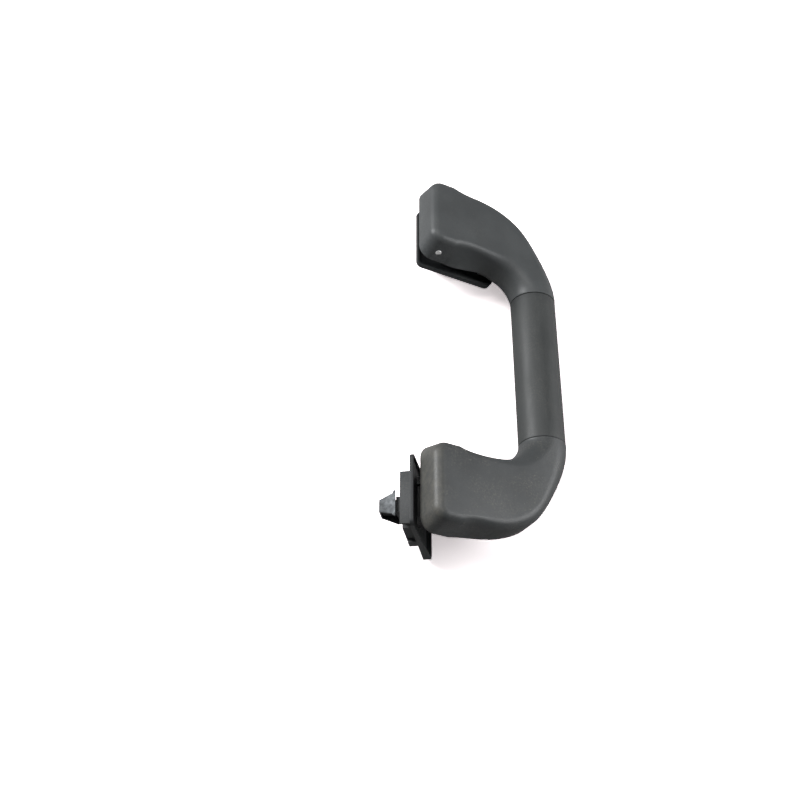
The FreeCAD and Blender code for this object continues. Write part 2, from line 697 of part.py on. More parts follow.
def make_bracket(label, side):
    body = new_body(label)
    half = S.tray_width / 2
    tray = block(body, "tray", (tray_near, tray_far), (-half, half),
                 (tray_back, tray_back + S.rim_far))
    near = upright_edges(tray, lambda spot: spot.x < 0)
    rounded = fillet(body, tray, near, S.tray_near_round, "near_round")
    far = upright_edges(rounded, lambda spot: spot.x > tray_far.value - 0.01)
    fillet(body, rounded, far, S.tray_far_round, "far_round")
    hollow = plan_sketch(body, "tray_hollow", floor_top)
    inset = S.tray_rim
    rectangle_rounds = [S.tray_near_round - inset, S.tray_far_round - inset,
                        S.tray_far_round - inset, S.tray_near_round - inset]
    rounded_outline(hollow, [(tray_near + inset, inset - half), (tray_far - inset, inset - half),
                             (tray_far - inset, half - inset), (tray_near + inset, half - inset)],
                    rectangle_rounds)
    pocket(body, hollow, S.rim_far)
    # The rim rises from the hinge end to the free end.
    slope = side_sketch(body, "rim_slope", half + 1)
    outline(slope, [(tray_near, tray_back + S.rim_near), (tray_far, tray_back + S.rim_far),
                    (tray_far, tray_back + S.rim_far * 2), (tray_near, tray_back + S.rim_far * 2)])
    pocket(body, slope, S.tray_width + 2)
    add_ears(body)
    add_locating_box(body, S.box_shift * side)
    add_nose(body, S.nose_shift * side)
    hole = plan_sketch(body, "stop_hole", floor_top - S.pad_stem_depth)
    circle(hole, rib_x - S.pin_x, ZERO, S.pad_stem_radius + S.press_gap)
    pocket(body, hole, S.pad_stem_depth + S.press_gap)
    body.setExpression("Placement", bracket_place(side))
    return body


def add_ears(body):
    """Two goose-necked ears that reach round the edge of the foot, and the wall between them."""
    for name, start in (("ear_a", ear_out), ("ear_b", -ear_in)):
        ear = side_sketch(body, name, start)
        outline(ear, [(S.knuckle_radius * 0.2, S.knuckle_radius * 0.97),
                      (S.neck_far, -S.knuckle_radius * 0.7), (S.neck_far, floor_top),
                      (S.neck_near, floor_top), (S.neck_near, -S.knuckle_radius * 1.5),
                      (S.knuckle_radius * 0.2, -S.knuckle_radius * 0.97)])
        pad(body, ear, S.ear_thick)
        eye = side_sketch(body, f"{name}_eye", start)
        circle(eye, ZERO, ZERO, S.knuckle_radius)
        pad(body, eye, S.ear_thick)
    block(body, "bridge", (S.neck_far - S.bridge_thick, S.neck_far), (-ear_in, ear_in),
          (floor_top, floor_top + S.bridge_height))
    bore = side_sketch(body, "eye_bore", ear_out + 1)
    circle(bore, ZERO, ZERO, S.pin_radius + S.running_gap)
    pocket(body, bore, ear_out * 2 + 2)


def add_locating_box(body, middle):
    """The box that enters the panel's cut-out, with slots and lugs on its two sides."""
    low = middle - S.box_width / 2
    high = middle + S.box_width / 2
    block(body, "box", (S.box_start, box_far), (low, high), (box_back, tray_back))
    slot_near = S.box_start + S.box_wall
    slot_far = slot_near + S.slot_length
    for name, ends in (("a", (low, low + S.slot_depth)), ("b", (high - S.slot_depth, high))):
        cut_block(body, f"slot_{name}", (slot_near, slot_far), ends, (box_back, tray_back))
        cut_block(body, f"step_{name}", (slot_far, box_far), ends,
                  (box_back, box_back + S.side_step))
    for name, ends in (("lug_a", (low - S.lug_reach, low)), ("lug_b", (high, high + S.lug_reach))):
        block(body, name, (box_far - S.lug_length, box_far), ends,
              (tray_back - S.lug_depth, tray_back))


def add_nose(body, middle):
    """The neck under the box and the tongue that carries the spring clip."""
    half_neck = S.neck_length / 2
    block(body, "neck", (S.nose_x - half_neck, S.nose_x + half_neck),
          (middle - S.neck_width / 2, middle + S.neck_width / 2), (neck_back, box_back))
    tongue = side_sketch(body, "tongue", middle + S.tongue_width / 2)
    wide = S.nose_length / 2 - S.clip_thick * 1.2 - S.tongue_gap
    slim = S.tip_length / 2 - S.clip_thick * 1.2 - S.tongue_gap
    tip = nose_back + S.clip_thick
    outline(tongue, [(S.nose_x - wide, neck_back), (S.nose_x - slim, tip),
                     (S.nose_x + slim, tip), (S.nose_x + wide, neck_back)])
    pad(body, tongue, S.tongue_width)
    stud = plan_sketch(body, "stud", nose_back)
    circle(stud, S.nose_x, middle, S.stud_radius)
    pad(body, stud, S.clip_thick)


def make_clip(label, side):
    """A bent steel strip: two legs that spread from the tip and catch behind the panel."""
    body = new_body(label)
    middle = S.nose_shift * side
    half_width = S.nose_width / 2
    strip = side_sketch(body, "strip", middle + half_width)
    wide = S.nose_length / 2
    slim = S.tip_length / 2
    skin = S.clip_thick * 1.1
    outline(strip, [(S.nose_x - wide, neck_back), (S.nose_x - slim, nose_back),
                    (S.nose_x + slim, nose_back), (S.nose_x + wide, neck_back),
                    (S.nose_x + wide - skin, neck_back),
                    (S.nose_x + slim - skin, nose_back + S.clip_thick),
                    (S.nose_x - slim + skin, nose_back + S.clip_thick),
                    (S.nose_x - wide + skin, neck_back)])
    pad(body, strip, S.nose_width)
    for name, hand in (("taper_a", 1), ("taper_b", -1)):
        taper = end_sketch(body, name, S.nose_x - S.nose_length)
        edge = middle + half_width * hand
        past = middle + half_width * hand * 1.5
        tip = middle + S.tip_width / 2 * hand
        outline(taper, [(edge, neck_back), (past, neck_back), (past, nose_back - 1),
                        (tip, nose_back - 1), (tip, nose_back)])
        pocket(body, taper, S.nose_length * 2)
    for name, hand in (("barb_a", 1), ("barb_b", -1)):
        barb = end_sketch(body, name, S.nose_x - S.nose_length / 2)
        edge = middle + half_width * hand
        outline(barb, [(edge - S.barb_width * hand, neck_back),
                       (edge + S.barb_width * hand, neck_back),
                       (edge, neck_back - S.barb_height)])
        pad(body, barb, S.clip_thick)
    hole = plan_sketch(body, "stud_hole", nose_back - 1)
    circle(hole, S.nose_x, middle, S.stud_radius + S.running_gap)
    pocket(body, hole, S.clip_thick + 2)
    body.setExpression("Placement", bracket_place(side))
    return body


def make_stop(label, side):
    """A rubber stop on a stem in the tray's floor."""
    body = new_body(label)
    sketch = side_sketch(body, "half")
    top = -S.pin_z - S.pad_gap - floor_top
    outline(sketch, [(ZERO, -S.pad_stem_depth), (S.pad_stem_radius, -S.pad_stem_depth),
                     (S.pad_stem_radius, ZERO), (S.pad_radius, ZERO),
                     (S.pad_radius, top - S.pad_round), (S.pad_radius - S.pad_round, top),
                     (ZERO, top)])
    revolve(body, sketch)
    spot = turned(rib_x - S.pin_x, floor_top, side)
    spot_y = (S.foot_middle * side) + S.bracket_shift - seat_y
    pitch = S.lower_open if side < 0 else ZERO
    body.setExpression("Placement", place(S.pin_x - seat_x + spot[0], spot_y,
                                          S.pin_z - seat_z + spot[1], pitch=pitch))
    return body


def turned(x, z, side):
    """A bracket's own point, turned with it about the pin."""
    if side > 0:
        return x, z
    angle = f"({S.lower_open.text} * 1 deg)"
    swing = math.radians(S.lower_open.value)
    cosine = Size(f"cos{angle}", math.cos(swing))
    sine = Size(f"sin{angle}", math.sin(swing))
    return x * cosine + z * sine, z * cosine - x * sine


make_bracket("upper_bracket", 1)
make_bracket("lower_bracket", -1)
make_clip("upper_spring_clip", 1)
make_clip("lower_spring_clip", -1)
make_stop("upper_stop_pad", 1)
make_stop("lower_stop_pad", -1)


def tube(label, side, outer, inner, low, high):
    """A tube on the pin, between two places along it."""
    body = new_body(label)
    sketch = side_sketch(body, "ring", high)
    circle(sketch, ZERO, ZERO, outer)
    circle(sketch, ZERO, ZERO, inner)
    pad(body, sketch, as_size(high) - low)
    body.setExpression("Placement", bracket_place(side))
    return body


between = ear_in - S.side_gap
turning_bore = S.pin_radius + S.running_gap
tube("upper_spring_sleeve", 1, turning_bore + S.sleeve_wall, turning_bore, -between, between)


def make_return_spring():
    """A torsion spring: its coil on the sleeve, one leg on the bridge, one under the foot's top."""
    wire = S.wire_radius.value
    radius = S.coil_radius.value
    pitch = S.coil_pitch.value
    leg_angle = math.radians(-14.0)
    top_angle = math.radians(18.5)
    start = top_angle + math.pi / 2
    finish = leg_angle - math.pi / 2 + 2 * math.pi
    sweep = (finish - start) + 2 * math.pi * (S.coil_turns.value - 1)
    height = pitch * sweep / (2 * math.pi)
    helix = Part.makeHelix(pitch, height, radius)
    section = Part.Wire(Part.makeCircle(wire, FreeCAD.Vector(radius, 0, 0),
                                        FreeCAD.Vector(0, 1, 0)))
    coil = Part.Wire(helix.Edges).makePipeShell([section], True, True)
    # The helix climbs along Y: its own x and y become X and Z.
    coil.rotate(FreeCAD.Vector(0, 0, 0), FreeCAD.Vector(1, 0, 0), 90)
    coil.rotate(FreeCAD.Vector(0, 0, 0), FreeCAD.Vector(0, 1, 0), -math.degrees(start))
    coil.translate(FreeCAD.Vector(0, height / 2, 0))
    first = FreeCAD.Vector(radius * math.cos(start), height / 2, radius * math.sin(start))
    last = FreeCAD.Vector(radius * math.cos(finish), -height / 2, radius * math.sin(finish))
    foot_top = (S.foot_height - S.front_wall - S.pin_z).value
    rise = foot_top - wire - 0.05 - first.z
    top_leg = Part.makeCylinder(wire, rise / math.sin(top_angle), first,
                                FreeCAD.Vector(math.cos(top_angle), 0, math.sin(top_angle)))
    bridge = (S.neck_far - S.bridge_thick).value
    reach = (bridge - wire - 0.05 - last.x) / math.cos(leg_angle)
    low_leg = Part.makeCylinder(wire, reach, last,
                                FreeCAD.Vector(math.cos(leg_angle), 0, math.sin(leg_angle)))
    joints = [Part.makeSphere(wire, first), Part.makeSphere(wire, last)]
    shape = coil.fuse([top_leg, low_leg] + joints).removeSplitter()
    spring = doc.addObject("Part::Feature", "upper_return_spring")
    spring.Label = "upper_return_spring"
    spring.Shape = shape
    spring.Placement = placement(S.pin_x - seat_x, S.foot_middle + S.bracket_shift - seat_y,
                                 S.pin_z - seat_z)
    return spring


make_return_spring()


def make_damper():
    """A rotary damper: a shell on the bracket, a rotor on the pin, a cap and a seal."""
    shell_bore = S.damper_radius - S.damper_wall
    cap_at = between - S.damper_cap
    body = new_body("lower_damper_shell")
    sketch = side_sketch(body, "shell", cap_at)
    circle(sketch, ZERO, ZERO, S.damper_radius)
    circle(sketch, ZERO, ZERO, shell_bore)
    pad(body, sketch, cap_at + between)
    end = side_sketch(body, "end", S.damper_wall - between)
    circle(end, ZERO, ZERO, shell_bore)
    circle(end, ZERO, ZERO, turning_bore)
    pad(body, end, S.damper_wall)
    # The foot of the shell lies against the bridge, so the shell turns with the bracket.
    bridge_near = S.neck_far - S.bridge_thick
    foot_top = floor_top + S.bridge_height
    block(body, "foot", (ZERO, bridge_near), (-S.damper_foot / 2, S.damper_foot / 2),
          (foot_top - S.damper_foot_thick, foot_top))
    bore = side_sketch(body, "clear_bore", cap_at)
    circle(bore, ZERO, ZERO, shell_bore)
    pocket(body, bore, cap_at + between - S.damper_wall)
    body.setExpression("Placement", bracket_place(-1))
    tube("lower_damper_rotor", -1, shell_bore - S.running_gap, S.pin_radius + S.press_gap,
         S.damper_wall + S.side_gap - between, cap_at - S.side_gap - S.seal_wire)
    tube("lower_damper_seal", -1, shell_bore - S.running_gap, turning_bore,
         cap_at - S.seal_wire, cap_at)
    tube("lower_damper_cap", -1, S.damper_radius, turning_bore, cap_at, between)


make_damper()
doc.recompute()

# Every object is checked, and then each sub-part is written to its own file.

parts = []
for item in doc.Objects:
    if "Invalid" in item.State or "Error" in item.State:
        raise RuntimeError(f"{item.Name} failed: {item.State}")
    if item.TypeId in ("PartDesign::Body", "Part::Mirroring", "Part::Feature"):
        parts.append(item)
for item in parts:
    if item.Shape.isNull() or not item.Shape.isValid():
        raise RuntimeError(f"{item.Label} has no valid shape")
os.makedirs("parts", exist_ok=True)
for item in parts:
    item.Shape.exportStep(f"parts/{item.Label}.step")
    box = item.Shape.BoundBox
    print(f"{item.Label}: {len(item.Shape.Solids)} solid, {item.Shape.Volume:.1f} mm3,",
          f"{box.XMin:.1f} {box.XMax:.1f} {box.YMin:.1f} {box.YMax:.1f} {box.ZMin:.1f} {box.ZMax:.1f}")
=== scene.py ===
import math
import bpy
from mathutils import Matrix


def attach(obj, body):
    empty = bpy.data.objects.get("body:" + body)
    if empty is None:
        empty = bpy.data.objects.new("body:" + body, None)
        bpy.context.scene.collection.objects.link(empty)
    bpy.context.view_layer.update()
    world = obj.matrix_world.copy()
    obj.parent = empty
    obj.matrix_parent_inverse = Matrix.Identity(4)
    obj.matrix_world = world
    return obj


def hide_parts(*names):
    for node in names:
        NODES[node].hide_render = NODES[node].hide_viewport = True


bl_info = {
    "name": "Roof Grab Handle",
    "version": (1, 0, 0),
    "blender": (4, 5, 0),
    "location": "View3D > Sidebar > Grab Handle",
    "description": "Mouldings, wires and finishes of a folding roof grab handle",
    "category": "Object",
}

import bmesh
import bpy
import numpy as np
from mathutils import Matrix, Vector

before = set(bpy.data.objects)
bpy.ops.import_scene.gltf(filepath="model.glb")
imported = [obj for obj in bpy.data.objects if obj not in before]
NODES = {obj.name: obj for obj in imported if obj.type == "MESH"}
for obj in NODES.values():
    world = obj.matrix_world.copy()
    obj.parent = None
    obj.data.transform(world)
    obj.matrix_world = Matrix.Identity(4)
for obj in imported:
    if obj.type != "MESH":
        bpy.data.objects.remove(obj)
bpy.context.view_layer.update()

MM = 0.001
# Lengths below are in mm, in the handle's own frame: its origin lies near the hinge end of the
# feet, half way along the grip, level with the open base of the feet. This shift leads from
# there to the row's frame, whose origin lies on the upper bracket's seat.
SHIFT = Vector((-41.2, -79.0, 9.8))
PIN_SPOT = Vector((7.8, 0.0, 5.4))
GRIP = Vector((68.7, 46.0, 6.3))
GRIP_RADIUS = 12.5
# The grip sleeve's half length and the radius of its bore.
SLEEVE_HALF = 45.7
SLEEVE_BORE = 8.05
SLEEVE_SIDES = 128
# The return spring: middle of its coil along the pin, the slope of its two legs, the levels
# they reach inside the foot and at the bracket's wall, and the gap left there.
SPRING_Y = 79.0
SPRING_TURNS = 5
TOP_LEG_SLOPE = math.radians(18.5)
LOW_LEG_SLOPE = math.radians(-14.0)
FOOT_ROOF = 15.2 - 2.6
BRACKET_WALL = 13.2 - 1.8
LEG_GAP = 0.05
# The core screws: from the grip's middle out to the screw, head seat, shank and thread.
SCREW_OUT = 6.0
SCREW_SEAT = 2.6
THREAD_START = 1.2
THREAD_LENGTH = 7.0
THREAD_RADIUS = 1.42
THREAD_STEPS = 24
# The photograph's camera, and the table's normal.
CAMERA_SPOT = Vector((-249.074, -333.274, 438.467))
CAMERA_RIGHT = Vector((0.879172, 0.004923, 0.476479))
CAMERA_UP = Vector((-0.247516, 0.859178, 0.447826))
CAMERA_BACK = Vector((-0.407175, -0.511653, 0.756584))
TABLE_UP = Vector((-0.476122, -0.030964, 0.878834)).normalized()
# The middle of the handle, in metres in the row's frame.
HEART = Vector((0.0, -0.079, 0.0))


# ---------------------------------------------------------------- sizes and colours


def colour_property(label, note, value):
    return bpy.props.FloatVectorProperty(name=label, description=note, subtype="COLOR", size=4,
                                         min=0.0, max=1.0, default=(*value, 1.0))


def length_property(label, note, value):
    return bpy.props.FloatProperty(name=label, description=note, unit="LENGTH",
                                   default=value * MM, min=0.0, precision=5)


def share_property(label, note, value):
    return bpy.props.FloatProperty(name=label, description=note, subtype="FACTOR",
                                   default=value, min=0.0, max=1.0)


class MouldingSizes(bpy.types.PropertyGroup):
    """Sizes of the moulded pieces that a maker would tune."""

    bracket_edge: length_property("Bracket edge", "Rounding on the edges of the brackets", 0.22)
    clip_edge: length_property("Clip edge", "Rounding on the edges of the spring clips", 0.08)
    seam_edge: length_property("Grip edge", "Rounding at the ends of the grip sleeve", 0.45)


class WireSizes(bpy.types.PropertyGroup):
    """Sizes of the pieces that follow a path."""

    coil_radius: length_property("Coil radius", "Return spring, to the middle of its wire", 3.0)
    wire_radius: length_property("Wire radius", "Return spring wire", 0.5)
    coil_pitch: length_property("Coil pitch", "Return spring, from turn to turn", 1.6)
    thread_pitch: length_property("Thread pitch", "Core screws, from turn to turn", 1.1)
    thread_depth: length_property("Thread ridge", "Core screws, half width of the ridge", 0.25)


class FinishColours(bpy.types.PropertyGroup):
    """Colours of the finishes."""

    arm: colour_property("Arms", "Grey of the moulded end arms", (0.088, 0.094, 0.096))
    grip: colour_property("Grip", "Grey of the round grip", (0.058, 0.062, 0.062))
    bracket: colour_property("Brackets", "Grey of the brackets", (0.036, 0.039, 0.041))
    dust: colour_property("Dust", "Dry dust in the grain", (0.23, 0.215, 0.18))
    rubber: colour_property("Rubber", "Black of the stops and the seal", (0.02, 0.02, 0.02))
    steel: colour_property("Steel", "Bright ground steel", (0.92, 0.92, 0.91))
    zinc: colour_property("Zinc", "Dull plated steel", (0.115, 0.121, 0.126))
    natural: colour_property("Natural plastic", "Undyed slippery plastic", (0.72, 0.71, 0.66))


class WearAmounts(bpy.types.PropertyGroup):
    """How used the handle looks."""

    grain: length_property("Grain", "Size of the moulded grain", 0.45)
    grain_depth: length_property("Grain depth", "Height of the moulded grain", 0.02)
    dust_lower: share_property("Dust below", "Dust on the lower arm", 0.32)
    dust_upper: share_property("Dust above", "Dust on the upper arm", 0.12)
    hinge_dust: share_property("Dust at the hinge", "Dust on the lower foot's end face", 0.4)
    rub: share_property("Rub", "Shine where hands rub the grip", 0.5)


class StageSettings(bpy.types.PropertyGroup):
    """Light, floor and camera."""

    key_power: bpy.props.FloatProperty(name="Key light", description="Large light overhead",
                                       default=2.9, min=0.0, unit="POWER")
    fill_power: bpy.props.FloatProperty(name="Side lights", description="Light on each side",
                                        default=6.0, min=0.0, unit="POWER")
    sky: bpy.props.FloatProperty(name="Room light", description="Soft light from all round",
                                 default=0.06, min=0.0)
    glow: bpy.props.FloatProperty(name="Paper glow", description="Lifts the paper towards white",
                                  default=0.43, min=0.0)
    lens: bpy.props.FloatProperty(name="Lens", description="Focal length on a 36 mm sensor",
                                  default=51.725, min=10.0)


PROPERTY_GROUPS = (MouldingSizes, WireSizes, FinishColours, WearAmounts, StageSettings)


# ---------------------------------------------------------------- shared shader effects


def new_group(name, inputs, outputs):
    """A shader node group with named sockets, and its input and output nodes."""
    tree = bpy.data.node_groups.new(name, "ShaderNodeTree")
    for label, kind, value in inputs:
        socket = tree.interface.new_socket(label, in_out="INPUT", socket_type=kind)
        socket.default_value = value
    for label, kind in outputs:
        tree.interface.new_socket(label, in_out="OUTPUT", socket_type=kind)
    start = tree.nodes.new("NodeGroupInput")
    end = tree.nodes.new("NodeGroupOutput")
    return tree, start, end


def math_node(tree, operation, first, second, third=None, clamp=False):
    """A math node; each operand is a number or a socket."""
    node = tree.nodes.new("ShaderNodeMath")
    node.operation = operation
    node.use_clamp = clamp
    for slot, value in enumerate((first, second, third)):
        if value is None:
            continue
        if isinstance(value, (int, float)):
            node.inputs[slot].default_value = value
        else:
            tree.links.new(value, node.inputs[slot])
    return node.outputs[0]


def noise_node(tree, vector, scale, detail=3.0, rough=0.5):
    node = tree.nodes.new("ShaderNodeTexNoise")
    tree.links.new(vector, node.inputs["Vector"])
    if isinstance(scale, (int, float)):
        node.inputs["Scale"].default_value = scale
    else:
        tree.links.new(scale, node.inputs["Scale"])
    node.inputs["Detail"].default_value = detail
    node.inputs["Roughness"].default_value = rough
    return node.outputs["Fac"]


def ramp(tree, value, low, high, to_low=0.0, to_high=1.0):
    """Spreads a value between two limits, smoothly."""
    node = tree.nodes.new("ShaderNodeMapRange")
    node.interpolation_type = "SMOOTHSTEP"
    tree.links.new(value, node.inputs["Value"])
    for label, number in (("From Min", low), ("From Max", high), ("To Min", to_low),
                          ("To Max", to_high)):
        if isinstance(number, (int, float)):
            node.inputs[label].default_value = number
        else:
            tree.links.new(number, node.inputs[label])
    return node.outputs["Result"]


def mix_colours(tree, share, first, second):
    node = tree.nodes.new("ShaderNodeMix")
    node.data_type = "RGBA"
    for slot, value in ((0, share), (6, first), (7, second)):
        if hasattr(value, "links"):
            tree.links.new(value, node.inputs[slot])
        else:
            node.inputs[slot].default_value = value
    return node.outputs[2]


def scaled(colour, factor):
    """A colour with its three parts multiplied, at most white."""
    return tuple(min(1.0, part * factor) for part in tuple(colour)[:3]) + (1.0,)


def object_place(tree):
    return tree.nodes.new("ShaderNodeTexCoord").outputs["Object"]


def moulded_grain_group():
    """Spark-eroded grain: shallow pits whose size and depth are inputs."""
    tree, start, end = new_group(
        "moulded grain",
        (("Size", "NodeSocketFloat", 0.00045), ("Depth", "NodeSocketFloat", 0.00002)),
        (("Height", "NodeSocketFloat"), ("Pits", "NodeSocketFloat")))
    place = object_place(tree)
    pitch = math_node(tree, "DIVIDE", 1.0, start.outputs["Size"])
    cells = tree.nodes.new("ShaderNodeTexVoronoi")
    cells.feature = "SMOOTH_F1"
    tree.links.new(place, cells.inputs["Vector"])
    tree.links.new(pitch, cells.inputs["Scale"])
    cells.inputs["Smoothness"].default_value = 0.7
    cloud = noise_node(tree, place, math_node(tree, "MULTIPLY", pitch, 0.6), 4.0, 0.6)
    pits = ramp(tree, cells.outputs["Distance"], 0.1, 0.75)
    both = math_node(tree, "MULTIPLY_ADD", pits, 0.6, math_node(tree, "MULTIPLY", cloud, 0.4))
    tree.links.new(math_node(tree, "MULTIPLY", both, start.outputs["Depth"]),
                   end.inputs["Height"])
    tree.links.new(both, end.inputs["Pits"])


def dust_group():
    """Dry dust: broad patches broken into fine specks."""
    tree, start, end = new_group(
        "dry dust",
        (("Amount", "NodeSocketFloat", 0.3), ("Patch", "NodeSocketFloat", 60.0),
         ("Fleck", "NodeSocketFloat", 950.0)),
        (("Mask", "NodeSocketFloat"), ("Specks", "NodeSocketFloat")))
    place = object_place(tree)
    patches = ramp(tree, noise_node(tree, place, start.outputs["Patch"], 5.0, 0.62), 0.38, 0.72)
    flecks = noise_node(tree, place, start.outputs["Fleck"], 3.0, 0.7)
    fine = ramp(tree, flecks, 0.42, 0.72)
    specks = ramp(tree, flecks, 0.66, 0.76)
    held = math_node(tree, "MULTIPLY", math_node(tree, "MULTIPLY", patches, fine),
                     start.outputs["Amount"])
    tree.links.new(held, end.inputs["Mask"])
    tree.links.new(math_node(tree, "MULTIPLY", specks, start.outputs["Amount"], clamp=True),
                   end.inputs["Specks"])


def edge_wear_group():
    """Rubbed edges, read from the piece's own edge attribute and broken up by noise."""
    tree, start, end = new_group(
        "edge wear",
        (("Amount", "NodeSocketFloat", 0.5), ("Break", "NodeSocketFloat", 900.0)),
        (("Mask", "NodeSocketFloat"),))
    edge = tree.nodes.new("ShaderNodeAttribute")
    edge.attribute_name = "edge_wear"
    place = object_place(tree)
    broken = ramp(tree, noise_node(tree, place, start.outputs["Break"], 4.0, 0.6), 0.35, 0.7)
    worn = math_node(tree, "MULTIPLY", edge.outputs["Fac"], broken)
    tree.links.new(math_node(tree, "MULTIPLY", worn, start.outputs["Amount"]),
                   end.inputs["Mask"])


def drawn_lines_group():
    """Fine lines along one axis, as drawing, turning or rolling leaves them in metal."""
    tree, start, end = new_group(
        "drawn lines",
        (("Across", "NodeSocketVector", (4000.0, 60.0, 4000.0)),
         ("Depth", "NodeSocketFloat", 0.000004)),
        (("Height", "NodeSocketFloat"), ("Streaks", "NodeSocketFloat")))
    place = object_place(tree)
    stretch = tree.nodes.new("ShaderNodeVectorMath")
    stretch.operation = "MULTIPLY"
    tree.links.new(place, stretch.inputs[0])
    tree.links.new(start.outputs["Across"], stretch.inputs[1])
    lines = noise_node(tree, stretch.outputs[0], 1.0, 3.0, 0.6)
    tree.links.new(math_node(tree, "MULTIPLY", lines, start.outputs["Depth"]),
                   end.inputs["Height"])
    tree.links.new(lines, end.inputs["Streaks"])


def place_group(tree, name, **values):
    """A copy of a shared effect in a material, with its own values."""
    node = tree.nodes.new("ShaderNodeGroup")
    node.node_tree = bpy.data.node_groups[name]
    for label, value in values.items():
        node.inputs[label.replace("_", " ").capitalize()].default_value = value
    return node


# ---------------------------------------------------------------- finishes


def blank_material(name):
    """A material with its shader, and its node tree."""
    material = bpy.data.materials.new(name)
    material.use_nodes = True
    tree = material.node_tree
    return material, tree, tree.nodes["Principled BSDF"]


def bump(tree, shader, height):
    """Feeds a height in metres to the shader's normal."""
    node = tree.nodes.new("ShaderNodeBump")
    node.inputs["Strength"].default_value = 1.0
    node.inputs["Distance"].default_value = 1.0
    tree.links.new(height, node.inputs["Height"])
    tree.links.new(node.outputs["Normal"], shader.inputs["Normal"])


def moulded_plastic(name, colour, dust, rough=(0.36, 0.5), grain=None, hinge_dust=0.0):
    """Grained plastic with dust in its grain and pale rubbed edges."""
    wear = bpy.context.scene.handle_wear
    colours = bpy.context.scene.handle_colours
    tree, shader = blank_material(name)[1:]
    colour = tuple(colour)
    pale = scaled(colour, 1.7)
    deep = scaled(colour, 0.82)
    place = object_place(tree)
    cloud = noise_node(tree, place, 45.0, 4.0, 0.55)
    base = mix_colours(tree, ramp(tree, cloud, 0.3, 0.7), deep, colour)
    pits = place_group(tree, "moulded grain", size=grain or wear.grain, depth=wear.grain_depth)
    edges = place_group(tree, "edge wear", amount=0.45)
    base = mix_colours(tree, edges.outputs["Mask"], base, pale)
    dusty = place_group(tree, "dry dust", amount=dust)
    base = mix_colours(tree, dusty.outputs["Mask"], base, tuple(colours.dust))
    if hinge_dust:
        # Dust has settled on the end face beside the hinge and thins out along the side.
        along = tree.nodes.new("ShaderNodeSeparateXYZ")
        tree.links.new(place, along.inputs[0])
        settled = ramp(tree, along.outputs["X"], (SHIFT.x + 5.5) * MM, (SHIFT.x + 0.5) * MM)
        blotch = ramp(tree, noise_node(tree, place, 260.0, 5.0, 0.65), 0.3, 0.75, 0.35, 1.0)
        settled = math_node(tree, "MULTIPLY", math_node(tree, "MULTIPLY", settled, blotch),
                            hinge_dust)
        base = mix_colours(tree, settled, base, tuple(colours.dust))
    base = mix_colours(tree, dusty.outputs["Specks"], base, scaled(colours.dust, 1.8))
    tree.links.new(base, shader.inputs["Base Color"])
    gloss = ramp(tree, pits.outputs["Pits"], 0.2, 0.8, rough[0], rough[1])
    matt = math_node(tree, "MULTIPLY_ADD", dusty.outputs["Mask"], 0.3, gloss, clamp=True)
    tree.links.new(matt, shader.inputs["Roughness"])
    shader.inputs["Specular IOR Level"].default_value = 0.5
    bump(tree, shader, pits.outputs["Height"])


def rubbed_grip(name, colour, dust):
    """The grip's plastic: the same grain, polished in streaks along the grip by hands."""
    wear = bpy.context.scene.handle_wear
    colours = bpy.context.scene.handle_colours
    tree, shader = blank_material(name)[1:]
    place = object_place(tree)
    stretch = tree.nodes.new("ShaderNodeMapping")
    stretch.inputs["Scale"].default_value = (1.0, 0.22, 1.0)
    tree.links.new(place, stretch.inputs["Vector"])
    streaks = noise_node(tree, stretch.outputs["Vector"], 170.0, 5.0, 0.6)
    colour = tuple(colour)
    base = mix_colours(tree, ramp(tree, streaks, 0.3, 0.7), scaled(colour, 0.84), colour)
    pits = place_group(tree, "moulded grain", size=wear.grain, depth=wear.grain_depth * 0.7)
    dusty = place_group(tree, "dry dust", amount=dust, patch=80.0)
    base = mix_colours(tree, dusty.outputs["Mask"], base, tuple(colours.dust))
    tree.links.new(base, shader.inputs["Base Color"])
    polish = ramp(tree, streaks, 0.25, 0.75, 0.5 - 0.22 * wear.rub, 0.56)
    gloss = math_node(tree, "MULTIPLY_ADD", pits.outputs["Pits"], 0.08, polish)
    tree.links.new(gloss, shader.inputs["Roughness"])
    shader.inputs["Specular IOR Level"].default_value = 0.5
    bump(tree, shader, pits.outputs["Height"])


def metal(name, colour, rough, across, plated=0.0, shine=1.0):
    """Drawn, turned or rolled steel with fine lines and, where plated, a cloudy bloom."""
    tree, shader = blank_material(name)[1:]
    lines = place_group(tree, "drawn lines", across=across)
    place = object_place(tree)
    cloud = ramp(tree, noise_node(tree, place, 380.0, 5.0, 0.6), 0.35, 0.7)
    colour = tuple(colour)
    bloom = math_node(tree, "MULTIPLY", cloud, 0.3 + 0.5 * plated)
    base = mix_colours(tree, bloom, colour, scaled(colour, 0.72 - 0.2 * plated))
    edges = place_group(tree, "edge wear", amount=0.6)
    base = mix_colours(tree, edges.outputs["Mask"], base, scaled(colour, 1.35))
    tree.links.new(base, shader.inputs["Base Color"])
    shader.inputs["Metallic"].default_value = shine
    gloss = math_node(tree, "MULTIPLY_ADD", lines.outputs["Streaks"], 0.2, rough)
    gloss = math_node(tree, "MULTIPLY_ADD", cloud, 0.12 * plated, gloss)
    tree.links.new(gloss, shader.inputs["Roughness"])
    bump(tree, shader, lines.outputs["Height"])


